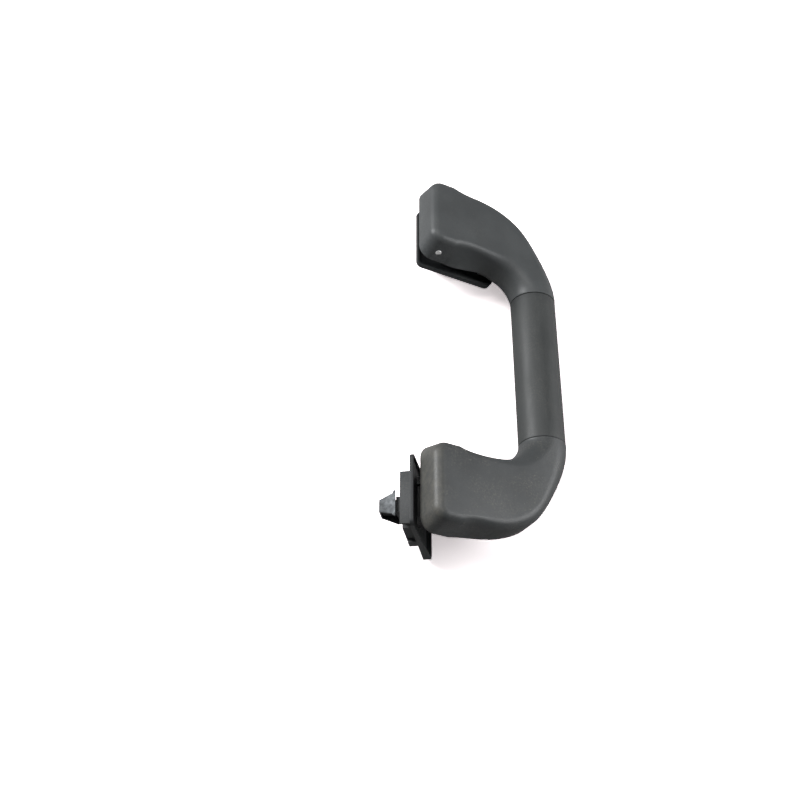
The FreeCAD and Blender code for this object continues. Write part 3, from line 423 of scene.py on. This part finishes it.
def rubber_finish(name, colour):
    """Soft matt rubber with a bloom and mould specks."""
    tree, shader = blank_material(name)[1:]
    dusty = place_group(tree, "dry dust", amount=0.25, patch=120.0)
    pits = place_group(tree, "moulded grain", size=0.00025, depth=0.00001)
    base = mix_colours(tree, dusty.outputs["Mask"], tuple(colour), scaled(colour, 3.0))
    tree.links.new(base, shader.inputs["Base Color"])
    tree.links.new(ramp(tree, pits.outputs["Pits"], 0.2, 0.8, 0.72, 0.9),
                   shader.inputs["Roughness"])
    shader.inputs["Specular IOR Level"].default_value = 0.35
    bump(tree, shader, pits.outputs["Height"])


def slippery_plastic(name, colour):
    """Undyed low-friction plastic: waxy, a little see-through, with grease on it."""
    tree, shader = blank_material(name)[1:]
    place = object_place(tree)
    grease = ramp(tree, noise_node(tree, place, 420.0, 4.0, 0.6), 0.4, 0.62)
    brown = (0.42, 0.36, 0.24, 1.0)
    tree.links.new(mix_colours(tree, math_node(tree, "MULTIPLY", grease, 0.35), tuple(colour),
                               brown), shader.inputs["Base Color"])
    tree.links.new(ramp(tree, grease, 0.0, 1.0, 0.42, 0.2), shader.inputs["Roughness"])
    shader.inputs["Subsurface Weight"].default_value = 0.15
    shader.inputs["Subsurface Radius"].default_value = (0.001, 0.0008, 0.0006)
    bump(tree, shader, math_node(tree, "MULTIPLY", grease, 0.00002))


def make_finishes():
    """Every finish of the handle, once."""
    moulded_grain_group()
    dust_group()
    edge_wear_group()
    drawn_lines_group()
    colours = bpy.context.scene.handle_colours
    wear = bpy.context.scene.handle_wear
    moulded_plastic("upper arm moulding", colours.arm, wear.dust_upper)
    # Painted shade: the lower arm is the same plastic as the upper one, but its grey is darkened
    # to 0.8 because the lamps light the lower arm more strongly.
    moulded_plastic("lower arm moulding", scaled(colours.arm, 0.8), wear.dust_lower,
                    hinge_dust=wear.hinge_dust)
    rubbed_grip("grip moulding", colours.grip, 0.12)
    moulded_plastic("bracket moulding", colours.bracket, 0.15, rough=(0.5, 0.6),
                    grain=wear.grain * 0.6)
    moulded_plastic("damper moulding", colours.rubber, 0.1, rough=(0.3, 0.45),
                    grain=wear.grain * 0.5)
    metal("ground steel", colours.steel, 0.42, (4000.0, 90.0, 4000.0), shine=0.85)
    metal("drawn tube", colours.zinc, 0.3, (2500.0, 25.0, 2500.0), plated=0.3)
    metal("plated strip", colours.zinc, 0.42, (200.0, 2600.0, 200.0), plated=0.8)
    metal("plated screw", colours.zinc, 0.3, (900.0, 900.0, 5000.0), plated=0.6)
    metal("spring wire", colours.zinc, 0.26, (1500.0, 1500.0, 1500.0), plated=0.1)
    rubber_finish("stop rubber", colours.rubber)
    slippery_plastic("slippery sleeve", colours.natural)


# ---------------------------------------------------------------- mesh helpers


def to_row(point):
    """A point of the handle's own frame in mm, in the row's frame in metres."""
    return (Vector(point) + SHIFT) * MM


def new_piece(name, mesh, material):
    piece = bpy.data.objects.new(name, mesh)
    bpy.context.scene.collection.objects.link(piece)
    mesh.materials.clear()
    mesh.materials.append(bpy.data.materials[material])
    return piece


def bake_modifiers(piece):
    """Turns the piece with its modifiers into a plain mesh."""
    bpy.context.view_layer.update()
    graph = bpy.context.evaluated_depsgraph_get()
    baked = bpy.data.meshes.new_from_object(piece.evaluated_get(graph), depsgraph=graph)
    old = piece.data
    piece.modifiers.clear()
    piece.data = baked
    bpy.data.meshes.remove(old)
    baked.name = piece.name


def soften(piece, width, segments, angle):
    """Rounds the sharp edges of a piece."""
    bevel = piece.modifiers.new("rounding", "BEVEL")
    bevel.width = width
    bevel.segments = segments
    bevel.limit_method = "ANGLE"
    bevel.angle_limit = math.radians(angle)
    bevel.miter_outer = "MITER_ARC"
    bevel.harden_normals = False
    bake_modifiers(piece)


def shade(piece, angle):
    """Smooth faces with sharp creases."""
    for polygon in piece.data.polygons:
        polygon.use_smooth = True
    piece.data.set_sharp_from_angle(angle=math.radians(angle))


def mark_edges(piece):
    """Stores on each point how sharp its convex creases are, for the wear along edges."""
    mesh = bmesh.new()
    mesh.from_mesh(piece.data)
    worn = np.zeros(len(mesh.verts), np.float32)
    for edge in mesh.edges:
        if len(edge.link_faces) == 2 and edge.is_convex:
            turn = edge.calc_face_angle(0.0)
            if turn > math.radians(12.0):
                for vert in edge.verts:
                    worn[vert.index] = max(worn[vert.index], min(1.0, turn / 0.7))
    mesh.free()
    store = piece.data.attributes.new("edge_wear", "FLOAT", "POINT")
    store.data.foreach_set("value", worn)


def clean_copy(node, name, material):
    """A merged copy of a frame node, with flat faces joined."""
    mesh = NODES[node].data.copy()
    work = bmesh.new()
    work.from_mesh(mesh)
    bmesh.ops.remove_doubles(work, verts=work.verts, dist=2e-6)
    bmesh.ops.dissolve_limit(work, angle_limit=math.radians(1.0), verts=work.verts,
                             edges=work.edges)
    work.to_mesh(mesh)
    work.free()
    normals = mesh.attributes.get("custom_normal")
    if normals is not None:
        mesh.attributes.remove(normals)
    return new_piece(name, mesh, material)


def mesh_from(name, points, faces):
    mesh = bpy.data.meshes.new(name)
    mesh.from_pydata([tuple(point) for point in points], [], faces)
    mesh.update()
    return mesh


def finish_piece(piece, body, nodes):
    """Fits a finished piece into the frame."""
    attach(piece, body)
    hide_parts(*nodes)


# ---------------------------------------------------------------- paths by geometry nodes


def wire_tree():
    """Sweeps a round wire along the piece's own line. Its radius and its sides are inputs."""
    tree = bpy.data.node_groups.new("wire along a line", "GeometryNodeTree")
    tree.interface.new_socket("Geometry", in_out="OUTPUT", socket_type="NodeSocketGeometry")
    tree.interface.new_socket("Line", in_out="INPUT", socket_type="NodeSocketGeometry")
    for label, kind in (("Wire radius", "NodeSocketFloat"), ("Sides", "NodeSocketInt"),
                        ("Finish", "NodeSocketMaterial")):
        tree.interface.new_socket(label, in_out="INPUT", socket_type=kind)
    start = tree.nodes.new("NodeGroupInput")
    end = tree.nodes.new("NodeGroupOutput")
    path = tree.nodes.new("GeometryNodeMeshToCurve")
    tree.links.new(start.outputs["Line"], path.inputs["Mesh"])
    ring = tree.nodes.new("GeometryNodeCurvePrimitiveCircle")
    tree.links.new(start.outputs["Sides"], ring.inputs["Resolution"])
    tree.links.new(start.outputs["Wire radius"], ring.inputs["Radius"])
    sweep = tree.nodes.new("GeometryNodeCurveToMesh")
    sweep.inputs["Fill Caps"].default_value = True
    tree.links.new(path.outputs["Curve"], sweep.inputs["Curve"])
    tree.links.new(ring.outputs["Curve"], sweep.inputs["Profile Curve"])
    real = tree.nodes.new("GeometryNodeRealizeInstances")
    finish = tree.nodes.new("GeometryNodeSetMaterial")
    tree.links.new(sweep.outputs["Mesh"], real.inputs["Geometry"])
    tree.links.new(real.outputs["Geometry"], finish.inputs["Geometry"])
    tree.links.new(start.outputs["Finish"], finish.inputs["Material"])
    tree.links.new(finish.outputs["Geometry"], end.inputs["Geometry"])
    return tree


def wire_piece(name, points, radius, sides, material):
    """A wire along points of the handle's own frame, as a plain mesh."""
    mesh = bpy.data.meshes.new(name)
    edges = [(index, index + 1) for index in range(len(points) - 1)]
    mesh.from_pydata([tuple(to_row(point)) for point in points], edges, [])
    piece = new_piece(name, mesh, material)
    tree = bpy.data.node_groups.get("wire along a line") or wire_tree()
    builder = piece.modifiers.new("wire", "NODES")
    builder.node_group = tree
    values = {"Wire radius": radius, "Sides": sides, "Finish": bpy.data.materials[material]}
    for item in tree.interface.items_tree:
        if item.in_out == "INPUT" and item.name in values:
            builder[item.identifier] = values[item.name]
    bake_modifiers(piece)
    shade(piece, 40.0)
    return piece


# ---------------------------------------------------------------- operators


class HANDLE_OT_arms(bpy.types.Operator):
    """Smooths both end arms: hollow feet that bend into the round grip."""

    bl_idname = "handle.arms"
    bl_label = "End Arms"

    def execute(self, context):
        for side in ("upper", "lower"):
            piece = clean_copy(f"{side}_end_arm", f"{side}_arm_moulding", f"{side} arm moulding")
            shade(piece, 26.0)
            mark_edges(piece)
            finish_piece(piece, "handle", [f"{side}_end_arm"])
        return {"FINISHED"}


class HANDLE_OT_grip(bpy.types.Operator):
    """Makes the grip sleeve, with its ends rounded at the joint lines."""

    bl_idname = "handle.grip"
    bl_label = "Grip Sleeve"

    def execute(self, context):
        edge = context.scene.handle_moulding.seam_edge / MM
        half = SLEEVE_HALF
        outer = []
        for step in range(7):
            turn = math.pi / 2 * step / 6
            outer.append((GRIP_RADIUS - edge * (1 - math.sin(turn)),
                          half - edge * (1 - math.cos(turn))))
        stations = np.linspace(half - edge, edge - half, 26)[1:-1]
        middle = [(GRIP_RADIUS, place) for place in stations]
        lower = [(radius, -place) for radius, place in reversed(outer)]
        profile = [(SLEEVE_BORE, half)] + outer + middle + lower + [(SLEEVE_BORE, -half)]
        points = []
        faces = []
        for step in range(SLEEVE_SIDES):
            turn = 2 * math.pi * step / SLEEVE_SIDES
            for radius, place in profile:
                points.append(to_row((GRIP.x + radius * math.cos(turn), place,
                                      GRIP.z + radius * math.sin(turn))))
        size = len(profile)
        for step in range(SLEEVE_SIDES):
            after = (step + 1) % SLEEVE_SIDES
            for index in range(size):
                following = (index + 1) % size
                faces.append((step * size + index, step * size + following,
                              after * size + following, after * size + index))
        mesh = mesh_from("grip_moulding", points, faces)
        work = bmesh.new()
        work.from_mesh(mesh)
        bmesh.ops.recalc_face_normals(work, faces=work.faces)
        work.to_mesh(mesh)
        work.free()
        piece = new_piece("grip_moulding", mesh, "grip moulding")
        shade(piece, 40.0)
        finish_piece(piece, "handle", ["grip_sleeve"])
        return {"FINISHED"}


class HANDLE_OT_brackets(bpy.types.Operator):
    """Rounds the moulded edges of both brackets."""

    bl_idname = "handle.brackets"
    bl_label = "Brackets"

    def execute(self, context):
        width = context.scene.handle_moulding.bracket_edge
        for side in ("upper", "lower"):
            piece = clean_copy(f"{side}_bracket", f"{side}_bracket_moulding", "bracket moulding")
            soften(piece, width, 2, 35.0)
            shade(piece, 35.0)
            mark_edges(piece)
            finish_piece(piece, f"{side}_bracket", [f"{side}_bracket"])
        return {"FINISHED"}


class HANDLE_OT_clips(bpy.types.Operator):
    """Rounds the sheet edges of both spring clips."""

    bl_idname = "handle.clips"
    bl_label = "Spring Clips"

    def execute(self, context):
        width = context.scene.handle_moulding.clip_edge
        for side in ("upper", "lower"):
            piece = clean_copy(f"{side}_spring_clip", f"{side}_clip_strip", "plated strip")
            soften(piece, width, 2, 30.0)
            shade(piece, 35.0)
            mark_edges(piece)
            finish_piece(piece, f"{side}_bracket", [f"{side}_spring_clip"])
        return {"FINISHED"}


class HANDLE_OT_pins(bpy.types.Operator):
    """Rounds the rims of the hinge pins and gives them their ground finish."""

    bl_idname = "handle.pins"
    bl_label = "Hinge Pins"

    def execute(self, context):
        for side in ("upper", "lower"):
            piece = clean_copy(f"{side}_hinge_pin", f"{side}_pin_rod", "ground steel")
            soften(piece, 0.2 * MM, 3, 50.0)
            shade(piece, 40.0)
            mark_edges(piece)
            finish_piece(piece, "handle", [f"{side}_hinge_pin"])
        return {"FINISHED"}


class HANDLE_OT_spring(bpy.types.Operator):
    """Winds the return spring round its pin, with one leg on the bracket and one in the foot."""

    bl_idname = "handle.spring"
    bl_label = "Return Spring"

    def execute(self, context):
        sizes = context.scene.handle_wires
        radius, wire = sizes.coil_radius / MM, sizes.wire_radius / MM
        pitch = sizes.coil_pitch / MM
        first = TOP_LEG_SLOPE + math.pi / 2
        last = LOW_LEG_SLOPE - math.pi / 2 + 2 * math.pi
        sweep = last - first + 2 * math.pi * SPRING_TURNS
        height = pitch * sweep / (2 * math.pi)
        middle = Vector((PIN_SPOT.x, SPRING_Y, PIN_SPOT.z))
        coil = []
        for step in range(281):
            share = step / 280
            turn = first + sweep * share
            coil.append(middle + Vector((radius * math.cos(turn), height / 2 - height * share,
                                         radius * math.sin(turn))))
        rise = FOOT_ROOF - PIN_SPOT.z - wire - LEG_GAP - (coil[0].z - middle.z)
        top = coil[0] + Vector((rise / math.tan(TOP_LEG_SLOPE), 0, rise))
        reach = BRACKET_WALL - wire - LEG_GAP - (coil[-1].x - middle.x)
        low = coil[-1] + Vector((reach, 0, reach * math.tan(LOW_LEG_SLOPE)))
        piece = wire_piece("return_spring_wire", [top] + coil + [low], sizes.wire_radius, 14,
                           "spring wire")
        finish_piece(piece, "upper_bracket", ["upper_return_spring"])
        return {"FINISHED"}


class HANDLE_OT_threads(bpy.types.Operator):
    """Winds the thread of both core screws."""

    bl_idname = "handle.threads"
    bl_label = "Screw Threads"

    def execute(self, context):
        sizes = context.scene.handle_wires
        pitch = sizes.thread_pitch / MM
        bottom = GRIP.z - GRIP_RADIUS + SCREW_SEAT + THREAD_START
        for side, hand in (("upper", 1), ("lower", -1)):
            points = []
            for step in range(int(THREAD_LENGTH / pitch * THREAD_STEPS) + 1):
                turn = 2 * math.pi * step / THREAD_STEPS
                points.append(Vector((GRIP.x + THREAD_RADIUS * math.cos(turn),
                                      hand * (GRIP.y + SCREW_OUT) + THREAD_RADIUS * math.sin(turn),
                                      bottom + pitch * step / THREAD_STEPS)))
            piece = wire_piece(f"{side}_screw_thread", points, sizes.thread_depth, 6,
                               "plated screw")
            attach(piece, "handle")
        return {"FINISHED"}


class HANDLE_OT_small_parts(bpy.types.Operator):
    """Gives the inner metal, rubber and plastic pieces their finishes."""

    bl_idname = "handle.small_parts"
    bl_label = "Inner Pieces"

    def execute(self, context):
        finishes = {
            "grip_core": "drawn tube", "upper_core_screw": "plated screw",
            "lower_core_screw": "plated screw", "upper_stop_pad": "stop rubber",
            "lower_stop_pad": "stop rubber", "upper_spring_sleeve": "slippery sleeve",
            "lower_damper_shell": "damper moulding", "lower_damper_rotor": "damper moulding",
            "lower_damper_cap": "damper moulding", "lower_damper_seal": "stop rubber",
        }
        for node, finish in finishes.items():
            mesh = NODES[node].data
            mesh.materials.clear()
            mesh.materials.append(bpy.data.materials[finish])
        return {"FINISHED"}


def floor_material(glow):
    """White paper. The camera sees it lifted towards white, so its shadows stay pale; the handle
    gets only a little light back from it. It shows no back, so views from below stay open."""
    material, tree, shader = blank_material("white_paper")
    tree.nodes.remove(shader)
    output = [node for node in tree.nodes if node.type == "OUTPUT_MATERIAL"][0]
    place = object_place(tree)
    fibre = ramp(tree, noise_node(tree, place, 900.0, 4.0, 0.6), 0.2, 0.8)
    paper = tree.nodes.new("ShaderNodeBsdfDiffuse")
    tree.links.new(mix_colours(tree, fibre, (2.28, 2.15, 2.16, 1.0), (2.32, 2.19, 2.2, 1.0)),
                   paper.inputs["Color"])
    lift = tree.nodes.new("ShaderNodeEmission")
    lift.inputs["Color"].default_value = (1.0, 0.93, 0.935, 1.0)
    lift.inputs["Strength"].default_value = glow
    bright = tree.nodes.new("ShaderNodeAddShader")
    tree.links.new(paper.outputs["BSDF"], bright.inputs[0])
    tree.links.new(lift.outputs["Emission"], bright.inputs[1])
    dull = tree.nodes.new("ShaderNodeBsdfDiffuse")
    ray = tree.nodes.new("ShaderNodeLightPath")
    mirrored = mix_colours(tree, ray.outputs["Is Glossy Ray"], (0.07, 0.068, 0.068, 1.0),
                           (0.5, 0.49, 0.49, 1.0))
    tree.links.new(mirrored, dull.inputs["Color"])
    seen = ray.outputs["Is Camera Ray"]
    front = tree.nodes.new("ShaderNodeMixShader")
    tree.links.new(seen, front.inputs["Fac"])
    tree.links.new(dull.outputs["BSDF"], front.inputs[1])
    tree.links.new(bright.outputs["Shader"], front.inputs[2])
    clear = tree.nodes.new("ShaderNodeBsdfTransparent")
    side = tree.nodes.new("ShaderNodeNewGeometry").outputs["Backfacing"]
    either = tree.nodes.new("ShaderNodeMixShader")
    tree.links.new(side, either.inputs["Fac"])
    tree.links.new(front.outputs["Shader"], either.inputs[1])
    tree.links.new(clear.outputs["BSDF"], either.inputs[2])
    tree.links.new(either.outputs["Shader"], output.inputs["Surface"])
    return material


def room_world(strength):
    """A white backdrop for the camera, and a dim room for the light on the handle."""
    world = bpy.data.worlds.new("studio")
    world.use_nodes = True
    tree = world.node_tree
    back = tree.nodes["Background"]
    back.inputs["Color"].default_value = (0.93, 0.96, 1.0, 1.0)
    back.inputs["Strength"].default_value = strength
    white = tree.nodes.new("ShaderNodeBackground")
    white.inputs["Color"].default_value = (1.0, 1.0, 1.0, 1.0)
    white.inputs["Strength"].default_value = 1.0
    seen = tree.nodes.new("ShaderNodeLightPath").outputs["Is Camera Ray"]
    either = tree.nodes.new("ShaderNodeMixShader")
    tree.links.new(seen, either.inputs["Fac"])
    tree.links.new(back.outputs["Background"], either.inputs[1])
    tree.links.new(white.outputs["Background"], either.inputs[2])
    tree.links.new(either.outputs["Shader"], tree.nodes["World Output"].inputs["Surface"])
    bpy.context.scene.world = world


def area_light(name, spot, target, size, power, colour):
    """A rectangular light at spot, facing target; size in metres."""
    data = bpy.data.lights.new(name, "AREA")
    data.shape = "RECTANGLE"
    data.size, data.size_y = size
    data.energy = power
    data.color = colour
    light = bpy.data.objects.new(name, data)
    light.location = spot
    light.rotation_euler = (target - spot).to_track_quat("-Z", "Y").to_euler()
    bpy.context.scene.collection.objects.link(light)


def lowest_on_table():
    """How far the handle reaches down towards the table, along the table's normal."""
    return min(vert.co.dot(TABLE_UP) for node in NODES.values() for vert in node.data.vertices)


class HANDLE_OT_stage(bpy.types.Operator):
    """Sets the white table, the studio light and the camera."""

    bl_idname = "handle.stage"
    bl_label = "Stage"

    def execute(self, context):
        settings = context.scene.handle_stage
        low = lowest_on_table() - 0.0002
        middle = HEART + TABLE_UP * (low - HEART.dot(TABLE_UP))
        side = Vector((0.0, 1.0, 0.0)).cross(TABLE_UP).normalized()
        along = TABLE_UP.cross(side).normalized()
        reach = 3.0
        corners = [middle + side * a * reach + along * b * reach
                   for a, b in ((-1, -1), (1, -1), (1, 1), (-1, 1))]
        mesh = mesh_from("table", corners, [(0, 1, 2, 3)])
        if mesh.polygons[0].normal.dot(TABLE_UP) < 0:
            mesh.flip_normals()
        mesh.materials.append(floor_material(settings.glow))
        table = bpy.data.objects.new("table", mesh)
        context.scene.collection.objects.link(table)
        room_world(settings.sky)
        above = HEART + TABLE_UP * 0.95 + CAMERA_UP * 0.22
        area_light("overhead", above, HEART, (0.7, 0.5), settings.key_power, (1.0, 0.99, 0.98))
        for name, hand, rise, lift, share in (("hinge side", -1.0, 0.42, 0.4, 1.75),
                                              ("grip side", 1.0, 0.22, 0.0, 0.9)):
            spot = HEART + CAMERA_RIGHT * (0.75 * hand) + TABLE_UP * rise + CAMERA_UP * lift
            area_light(name, spot, HEART, (0.45, 0.7), settings.fill_power * share,
                       (0.98, 0.99, 1.0))
        data = bpy.data.cameras.new("camera")
        data.lens = settings.lens
        data.sensor_width = 36.0
        data.clip_start = 0.01
        camera = bpy.data.objects.new("camera", data)
        axes = Matrix((CAMERA_RIGHT, CAMERA_UP, CAMERA_BACK)).transposed().to_4x4()
        camera.matrix_world = Matrix.Translation(to_row(CAMERA_SPOT)) @ axes
        context.scene.collection.objects.link(camera)
        context.scene.camera = camera
        context.scene.view_settings.view_transform = "Standard"
        return {"FINISHED"}


class HANDLE_OT_finishes(bpy.types.Operator):
    """Makes the plastics, metals and rubber that the pieces wear."""

    bl_idname = "handle.finishes"
    bl_label = "Finishes"

    def execute(self, context):
        make_finishes()
        return {"FINISHED"}


class HANDLE_PT_panel(bpy.types.Panel):
    """Lists the handle's sizes, colours and operators."""

    bl_idname = "HANDLE_PT_panel"
    bl_label = "Roof Grab Handle"
    bl_space_type = "VIEW_3D"
    bl_region_type = "UI"
    bl_category = "Grab Handle"

    def draw(self, context):
        column = self.layout.column()
        for operator in OPERATORS:
            column.operator(operator.bl_idname)
        for name in SCENE_SETTINGS:
            group = getattr(context.scene, name)
            box = column.box()
            for key in group.__annotations__:
                box.prop(group, key)


OPERATORS = (HANDLE_OT_finishes, HANDLE_OT_arms, HANDLE_OT_grip, HANDLE_OT_brackets,
             HANDLE_OT_clips, HANDLE_OT_pins, HANDLE_OT_spring, HANDLE_OT_threads,
             HANDLE_OT_small_parts, HANDLE_OT_stage)
SCENE_SETTINGS = {
    "handle_moulding": MouldingSizes,
    "handle_wires": WireSizes,
    "handle_colours": FinishColours,
    "handle_wear": WearAmounts,
    "handle_stage": StageSettings,
}


def register():
    for group in PROPERTY_GROUPS:
        bpy.utils.register_class(group)
    for name, group in SCENE_SETTINGS.items():
        setattr(bpy.types.Scene, name, bpy.props.PointerProperty(type=group))
    for item in OPERATORS:
        bpy.utils.register_class(item)
    bpy.utils.register_class(HANDLE_PT_panel)


def unregister():
    bpy.utils.unregister_class(HANDLE_PT_panel)
    for item in reversed(OPERATORS):
        bpy.utils.unregister_class(item)
    for name in SCENE_SETTINGS:
        delattr(bpy.types.Scene, name)
    for group in reversed(PROPERTY_GROUPS):
        bpy.utils.unregister_class(group)


def main():
    """Runs every operator in order."""
    register()
    bpy.ops.handle.finishes()
    bpy.ops.handle.arms()
    bpy.ops.handle.grip()
    bpy.ops.handle.brackets()
    bpy.ops.handle.clips()
    bpy.ops.handle.pins()
    bpy.ops.handle.spring()
    bpy.ops.handle.threads()
    bpy.ops.handle.small_parts()
    bpy.ops.handle.stage()


if __name__ == "__main__":
    main()
